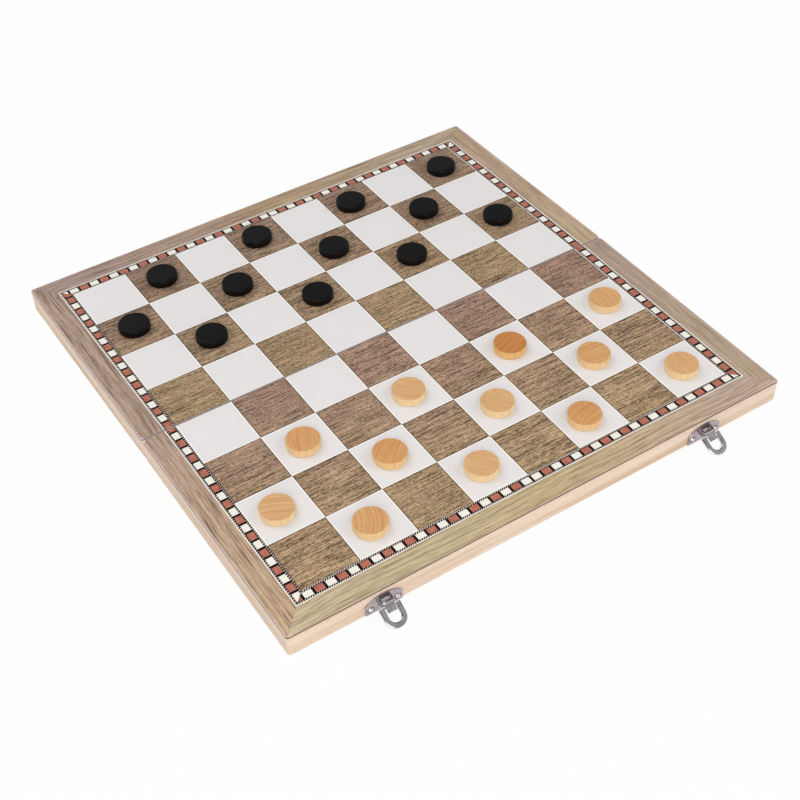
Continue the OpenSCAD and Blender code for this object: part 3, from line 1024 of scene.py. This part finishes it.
@dataclass(frozen=True)
class NickelPlate(Finish):
    """Thin bright nickel over pressed steel, a little mauve, with polishing marks and dull spots, and where
    nails are given, painted shade round them.

    Attributes:
        tone: Colour of the clean plating.
        dull: Colour of its dull spots.
        polish: Roughness of the clean plating.
        nails: Where a ring of painted shade darkens the plate round a hasp's nails: the hasp's X, the nail's
            distance from it and its Z.
    """

    tone: Colour = from_screen(180, 170, 174)
    dull: Colour = from_screen(150, 140, 144)
    polish: float = 0.1
    nails: tuple[float, float, float] | None = None
    # colour of the painted shade round each nail, which stands for the shadow in the gap round its head
    nail_shade: Colour = from_screen(44, 34, 30)
    cloud: Pattern = Pattern((220.0, 220.0, 220.0), 4.0)
    marks: Pattern = Pattern((400.0, 4000.0, 4000.0), 2.0)

    def draw(self, graph: Graph) -> None:
        """Draw the plating."""
        x, y, z = graph.place()
        cloud = graph.noise(self.cloud, x, y, z)
        marks = graph.noise(self.marks, x, y, z)
        colour = graph.mix(graph.spread(cloud, 0.4, 0.75), self.tone, self.dull)
        if self.nails:
            # painted shade: darken a ring round each nail's head, for the shadow in the gap round it
            hasp_x, nail_x, nail_z = self.nails
            side = abs(abs(x) - hasp_x) - nail_x
            rise = z - nail_z
            reach = graph.math("SQRT", side * side + rise * rise)
            colour = graph.mix(graph.spread(reach, 2.1 * MM, 2.7 * MM, 0.95, 0.0), colour, self.nail_shade)
        graph.colour(colour)
        graph.roughness(graph.spread(cloud, 0.35, 0.85, self.polish, self.polish + 0.16) + marks * 0.06)
        graph.bump(marks, 0.01 * MM, 0.35)
        graph.constant("Metallic", 1.0)


@dataclass(frozen=True)
class BlackStain(Finish):
    """Matt black stained wood, with faint end grain and dust.

    Attributes:
        top: Colours between which the grain of the flat faces varies.
        rim: The same for the rim.
    """

    top: tuple[Colour, Colour] = (from_screen(7, 7, 8), from_screen(14, 14, 15))
    rim: tuple[Colour, Colour] = (from_screen(5, 4, 4), from_screen(12, 10, 9))
    dusty: Colour = from_screen(92, 92, 96)
    grain: Pattern = Pattern((380.0, 1400.0, 900.0), 4.0)
    dust: Pattern = Pattern((1200.0, 1200.0, 1200.0), 1.0)

    def draw(self, graph: Graph) -> None:
        """Draw the stained wood."""
        place = graph.place()
        grain = graph.noise(self.grain, *place)
        run = graph.spread(grain, 0.3, 0.7)
        flat = graph.spread(graph.upright(), 0.4, 0.8)
        tone = graph.mix(flat, graph.mix(run, *self.rim), graph.mix(run, *self.top))
        dust = graph.spread(graph.noise(self.dust, *place), 0.74, 0.8, 0.0, 0.5)
        graph.colour(graph.mix(dust, tone, self.dusty))
        graph.roughness(graph.spread(grain, 0.3, 0.7, 0.36, 0.5))
        graph.bump(grain, 0.04 * MM, 0.4)
        graph.constant("Specular IOR Level", 0.14)


@dataclass(frozen=True)
class TurnedWood(Finish):
    """Lacquered natural wood of one light draught.

    Each pair of colours is the wood of a cool and of a warm draught.

    Attributes:
        number: The draught's number in its set.
        middle: The draught's centre.
        angle: Direction of the grain on its top, in degrees.
        warmth: How orange its wood is, 0 cool to 1 warm. More than 0.7 is a little darker too.
        pale: Early wood of the flat faces.
        deep: Late wood of the flat faces.
        rim_pale: Early wood of the rim.
        rim_deep: Late wood of the rim.
    """

    number: int
    middle: Vector
    angle: float
    warmth: float
    pale: tuple[Colour, Colour] = (from_screen(230, 190, 138), from_screen(219, 158, 94))
    deep: tuple[Colour, Colour] = (from_screen(214, 164, 110), from_screen(197, 128, 68))
    rim_pale: tuple[Colour, Colour] = (from_screen(250, 224, 176), from_screen(246, 202, 138))
    rim_deep: tuple[Colour, Colour] = (from_screen(242, 208, 154), from_screen(230, 180, 114))
    rings: Pattern = Pattern((26.0, 620.0), 3.0, 0.6)
    fibres: Pattern = Pattern((160.0, 2600.0), 2.0)
    rim_grain: Pattern = Pattern((900.0, 900.0, 160.0), 3.0)

    def draw(self, graph: Graph) -> None:
        """Draw the wood of the flat faces and of the rim."""
        x, y, z = graph.place()
        dx = x - self.middle.x
        dy = y - self.middle.y
        turn = math.radians(self.angle)
        along = dx * math.cos(turn) + dy * math.sin(turn)
        across = dy * math.cos(turn) - dx * math.sin(turn)
        seed = self.number * 3.7
        bend = along * along * (9.0 + 5.0 * math.sin(seed))
        rings = graph.noise(self.rings, along, across + bend, seed=seed)
        fibres = graph.noise(self.fibres, along, across, seed=seed)

        light = 0.955 - 0.12 * max(0.0, self.warmth - 0.7)
        pale, deep = (shade(blend(pair, self.warmth), light) for pair in (self.pale, self.deep))
        top = graph.mix(graph.spread(rings, 0.34, 0.66), deep, pale)
        top = graph.mix(graph.spread(fibres, 0.48, 0.7, 0.0, 0.6), top, deep)
        rim_pale, rim_deep = (blend(pair, self.warmth) for pair in (self.rim_pale, self.rim_deep))
        rim_run = graph.spread(graph.noise(self.rim_grain, dx, dy, z), 0.35, 0.7)
        rim = graph.mix(rim_run, rim_deep, rim_pale)
        graph.colour(graph.mix(graph.spread(graph.upright(), 0.35, 0.8), rim, top))
        graph.roughness(graph.spread(rings, 0.3, 0.7, 0.34, 0.46))
        graph.bump(fibres, 0.03 * MM, 0.5)
        graph.constant("Coat Weight", 0.25)
        graph.constant("Coat Roughness", 0.25)


# ---- Shaping and dressing solids ----------------------------------------------------------------

# corners that turn by more degrees than this are rounded, once points this near are joined
SHARP = 40
JOINED = 0.001 * MM


def soften(name: str, width: float, segments: int = 3) -> None:
    """Round a solid's sharp edges.

    Args:
        name: The solid's name.
        width: Width of the rounding in metres.
        segments: Number of facets across it.
    """
    solid = frame["nodes"][name]
    weld = solid.modifiers.new("weld", "WELD")
    weld.merge_threshold = JOINED
    bevel = solid.modifiers.new("soft_edges", "BEVEL")
    bevel.width = width
    bevel.segments = segments
    bevel.limit_method = "ANGLE"
    bevel.angle_limit = math.radians(SHARP)
    bevel.use_clamp_overlap = True
    bevel.harden_normals = True


def paint(name: str, material: bpy.types.Material) -> None:
    """Give a solid one finish all over.

    Args:
        name: The solid's name.
        material: Its finish.
    """
    solid = frame["nodes"][name]
    solid.data.materials.clear()
    solid.data.materials.append(material)
    LOG.info("dressed %s in %s", name, material.name)


# ---- Sub-assemblies -----------------------------------------------------------------------------


@dataclass
class Tray:
    """One half of the box: four rails, a panel, the printed face and the tray lining.

    Attributes:
        half: Which half.
        place: Where it lies, read from the frame.
        rail_softness: Width of the rails' rounded edges.
        sheet_softness: Width of the printed face's.
    """

    half: Half
    place: HalfFrame = field(init=False)
    rail_softness: float = 0.35 * MM
    sheet_softness: float = 0.22 * MM

    def __post_init__(self) -> None:
        """Find where the half lies."""
        self.place = HalfFrame.measure(self.half)

    def name(self, piece: str) -> str:
        """Return the full name of one of this half's solids."""
        return f"{self.half.value}_{piece}"

    def build(self) -> None:
        """Soften the edges of the rails and the face."""
        for rail in ("long_rail", "fold_rail", "left_rail", "right_rail"):
            soften(self.name(rail), self.rail_softness)
        soften(self.name("printed_face"), self.sheet_softness, 2)

    def dress(self) -> None:
        """Finish every solid of the half."""
        long_wood = BareWood(self.place, Grain.ALONG_X).dress(self.name("bare_wood_along_x"))
        side_wood = BareWood(self.place, Grain.ALONG_Y).dress(self.name("bare_wood_along_y"))
        for rail in ("long_rail", "fold_rail"):
            paint(self.name(rail), long_wood)
        for rail in ("left_rail", "right_rail"):
            paint(self.name(rail), side_wood)
        paint(self.name("panel"), Fibreboard().dress("fibreboard"))
        board = PrintedBoard(self.place, SHEET_PRINTS[self.half])
        paint(self.name("printed_face"), board.dress(self.name("printed_board")))
        low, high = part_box(self.name("tray_lining"))
        near, far = sorted((abs(low.y), abs(high.y)))
        lining = BackgammonPrint(self.place, width=high.x - low.x, near=near, far=far)
        paint(self.name("tray_lining"), lining.dress(self.name("backgammon_print")))


@dataclass
class FoldHinges:
    """The two butt hinges between the halves, with their pins and screws.

    Attributes:
        softness: Width of the leaves' rounded edges.
        polish: Roughness of their plating, which is duller than the hasps'.
    """

    softness: float = 0.12 * MM
    polish: float = 0.24

    def build(self) -> None:
        """Soften the leaves' edges."""
        for side in Side:
            for leaf in ("front_leaf", "back_leaf"):
                soften(f"{side.value}_hinge_{leaf}", self.softness, 2)

    def dress(self) -> None:
        """Plate every piece of the hinges."""
        plate = NickelPlate(polish=self.polish).dress("hinge_nickel")
        for side in Side:
            for piece in ("front_leaf", "back_leaf", "pin"):
                paint(f"{side.value}_hinge_{piece}", plate)
        for half in Half:
            paint(f"{half.value}_hinge_screws", plate)


@dataclass
class Hasps:
    """The two hasps on the front wall and their catches on the back wall.

    Attributes:
        softness: Width of the rounded pressed edges.
        nail_radius: Radius of a nail's head.
        nail_up: Height of the nails over the plate's lower edge.
        bright: Colours of the levers' clean plating and of its dull spots.
        polish: Roughness of the levers.
    """

    softness: float = 0.2 * MM
    nail_radius: float = 1.8 * MM
    nail_up: float = 4.3 * MM
    bright: tuple[Colour, Colour] = (from_screen(226, 222, 224), from_screen(190, 184, 186))
    polish: float = 0.06

    def build(self) -> None:
        """Soften the pressed edges."""
        for side in Side:
            for piece in ("latch_plate", "latch_lever", "catch_plate"):
                soften(f"{side.value}_{piece}", self.softness, 2)

    def dress(self) -> None:
        """Plate every piece of the hasps."""
        low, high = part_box("left_latch_plate")
        hasp_x = abs(low.x + high.x) / 2
        nail_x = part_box("latch_nails")[1].x - hasp_x - self.nail_radius
        nail_z = low.z + self.nail_up
        # the latch plates get painted shade round their nails
        shaded_hasp_plate = NickelPlate(nails=(hasp_x, nail_x, nail_z)).dress("hasp_plate_nickel")
        bright = NickelPlate(*self.bright, polish=self.polish).dress("lever_nickel")
        plain = NickelPlate().dress("hasp_nickel")
        for side in Side:
            paint(f"{side.value}_latch_plate", shaded_hasp_plate)
            paint(f"{side.value}_catch_plate", plain)
            for piece in ("latch_pin", "latch_lever"):
                paint(f"{side.value}_{piece}", bright)
        for nails in ("latch_nails", "catch_nails"):
            paint(nails, bright)


@dataclass
class DraughtSet:
    """Twelve black and twelve natural wood draughts.

    Attributes:
        count: Draughts of one colour.
        grain_step: Degrees by which the grain turns from one light draught to the next.
        warmest: Number of the light draught that is clearly darker.
        warmest_by: Its warmth.
        warmth: Mean warmth of the others.
        warmth_swing: How far they differ from it.
    """

    count: int = 12
    grain_step: float = 67.0
    warmest: int = 3
    warmest_by: float = 1.2
    warmth: float = 0.4
    warmth_swing: float = 0.3

    def dress(self) -> None:
        """Stain the black draughts and give each light one its own grain."""
        black = BlackStain().dress("black_stain")
        for number in range(1, self.count + 1):
            paint(f"dark_draught_{number:02d}", black)
            name = f"light_draught_{number:02d}"
            low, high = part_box(name)
            warmth = self.warmth + self.warmth_swing * math.sin(number * 2.4)
            if number == self.warmest:
                warmth = self.warmest_by
            wood = TurnedWood(number, (low + high) / 2, angle=self.grain_step * number, warmth=warmth)
            paint(name, wood.dress(f"turned_wood_{number:02d}"))


@dataclass(frozen=True)
class Lamp:
    """One soft square lamp that points at the board.

    Attributes:
        name: The lamp's name.
        at: Where it hangs.
        size: Its width in metres.
        power: Its power in watts.
        mirrored: Whether bright surfaces mirror it.
    """

    name: str
    at: Point
    size: float
    power: float
    mirrored: bool = True

    def hang(self) -> None:
        """Add the lamp to the scene."""
        data = bpy.data.lights.new(self.name, "AREA")
        data.size = self.size
        data.energy = self.power
        lamp = bpy.data.objects.new(self.name, data)
        lamp.location = self.at
        lamp.rotation_euler = (-Vector(self.at)).to_track_quat("-Z", "Y").to_euler()
        lamp.visible_glossy = self.mirrored
        bpy.context.scene.collection.objects.link(lamp)


@dataclass(frozen=True)
class Studio:
    """The pale floor, the soft lamps and the camera.

    Attributes:
        focal_px: Focal length of the camera, in pixels of its square picture.
        frame_px: Width of that picture.
        sensor: Width of the camera's sensor in millimetres.
        camera_at: Where the camera stands.
        right: Direction that points to the right in the picture.
        down: Direction that points down in it.
        forward: Direction that the camera looks in.
        floor_size: Width of the floor.
        floor_tone: Light that the floor gives back.
        floor_glow: Share of its white that shows whatever the light.
        world_light: Strength of the world's light on the object.
        ceiling_size: Width of the ceiling.
        ceiling_height: Its height over the floor.
        ceiling_glow: Its own light.
        panel_glow: Light of its panel.
        panel_at: X and Y of the panel's middle.
        panel_reach: How far the panel is even on each side of that, along X and Y.
        panel_fade: Width of the soft edge round it.
        lamps: The lamps.
    """

    focal_px: float = 1417.277
    frame_px: float = 800.0
    sensor: float = 36.0
    camera_at: Point = (-0.398396, -0.662380, 0.688933)
    right: Point = (0.8385275, -0.5442382, -0.0260081)
    down: Point = (-0.3919308, -0.5693267, -0.7226737)
    forward: Point = (0.3784995, 0.6161752, -0.6906998)
    floor_size: float = 12.0
    floor_tone: float = 0.82
    floor_glow: float = 0.94
    world_light: float = 0.36
    ceiling_size: float = 9.0
    ceiling_height: float = 2.6
    ceiling_glow: float = 0.02
    panel_glow: float = 0.4
    panel_at: tuple[float, float] = (1.35, -1.25)
    panel_reach: tuple[float, float] = (1.1, 0.5)
    panel_fade: float = 0.3
    lamps: tuple[Lamp, ...] = (
        Lamp("key", (-1.1, -1.8, 1.5), 1.6, 32.5),
        Lamp("fill", (1.7, -1.2, 1.5), 1.8, 18.5, mirrored=False),
        Lamp("top", (-0.7, 1.0, 2.1), 1.8, 22.0),
    )

    def build(self) -> None:
        """Make the camera, the floor and the lamps."""
        bpy.context.scene.view_settings.view_transform = "Standard"
        self.make_camera()
        self.make_floor()
        self.make_world()
        self.make_ceiling()
        for lamp in self.lamps:
            lamp.hang()

    def make_camera(self) -> None:
        """Place the camera where the object was seen from."""
        data = bpy.data.cameras.new("camera")
        data.sensor_width = self.sensor
        data.lens = self.focal_px / self.frame_px * self.sensor
        data.clip_start = 0.01
        camera = bpy.data.objects.new("camera", data)
        turn = Matrix((Vector(self.right), -Vector(self.down), -Vector(self.forward))).transposed()
        camera.matrix_world = Matrix.Translation(Vector(self.camera_at)) @ turn.to_4x4()
        bpy.context.scene.collection.objects.link(camera)
        bpy.context.scene.camera = camera

    def plane(self, name: str, width: float, z: float, material: bpy.types.Material) -> bpy.types.Object:
        """Make a level square over the origin.

        Args:
            name: Its name.
            width: Its width.
            z: Its height.
            material: Its finish.

        Returns:
            The object.
        """
        half = width / 2
        mesh = bpy.data.meshes.new(name)
        around = [(-half, -half, z), (half, -half, z), (half, half, z), (-half, half, z)]
        mesh.from_pydata(around, [], [(0, 1, 2, 3)])
        mesh.materials.append(material)
        plane = bpy.data.objects.new(name, mesh)
        bpy.context.scene.collection.objects.link(plane)
        return plane

    def make_floor(self) -> None:
        """Lay the floor, which looks white but still takes the object's shadow."""
        paper = bpy.data.materials.new("white_paper")
        nodes = Nodes(paper)
        lit = nodes.light("ShaderNodeBsdfDiffuse", grey(self.floor_tone))
        seen = nodes.light("ShaderNodeEmission", WHITE)
        nodes.finish_backdrop(lit, seen, self.floor_glow, "ShaderNodeOutputMaterial")
        floor = self.plane("floor", self.floor_size, 0.0, paper)

    def make_ceiling(self) -> None:
        """Hang the studio's ceiling, which only mirrors see: dark, with one soft grey panel at the front."""
        graph = Graph("studio_ceiling")
        x, y, _ = graph.place()
        in_x, in_y = (
            graph.spread(abs(place - middle), reach, reach + self.panel_fade, 1.0, 0.0)
            for place, middle, reach in zip((x, y), self.panel_at, self.panel_reach)
        )
        glow = (in_x & in_y) * self.panel_glow + self.ceiling_glow
        graph.colour(BLACK)
        graph.constant("Specular IOR Level", 0.0)
        graph.constant("Emission Color", (*WHITE, 1.0))
        graph.feed(graph.shader.inputs["Emission Strength"], glow)
        ceiling = self.plane("ceiling", self.ceiling_size, self.ceiling_height, graph.material)
        for way in ("visible_camera", "visible_diffuse", "visible_shadow", "visible_transmission"):
            setattr(ceiling, way, False)

    def make_world(self) -> None:
        """Make a white world whose light on the object is softer than it looks."""
        world = bpy.data.worlds.new("studio")
        nodes = Nodes(world)
        lit = nodes.light("ShaderNodeBackground", WHITE, self.world_light)
        seen = nodes.light("ShaderNodeBackground", WHITE, 1.0)
        nodes.finish_backdrop(lit, seen, 1.0, "ShaderNodeOutputWorld")
        bpy.context.scene.world = world


def main() -> None:
    """Build and dress the box piece by piece."""
    logging.basicConfig(level=logging.INFO, format="%(name)s: %(message)s")
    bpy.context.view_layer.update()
    for half in Half:
        tray = Tray(half)
        tray.build()
        tray.dress()
    for part in (FoldHinges(), Hasps()):
        part.build()
        part.dress()
    DraughtSet().dress()
    Studio().build()


if __name__ == "__main__":
    main()
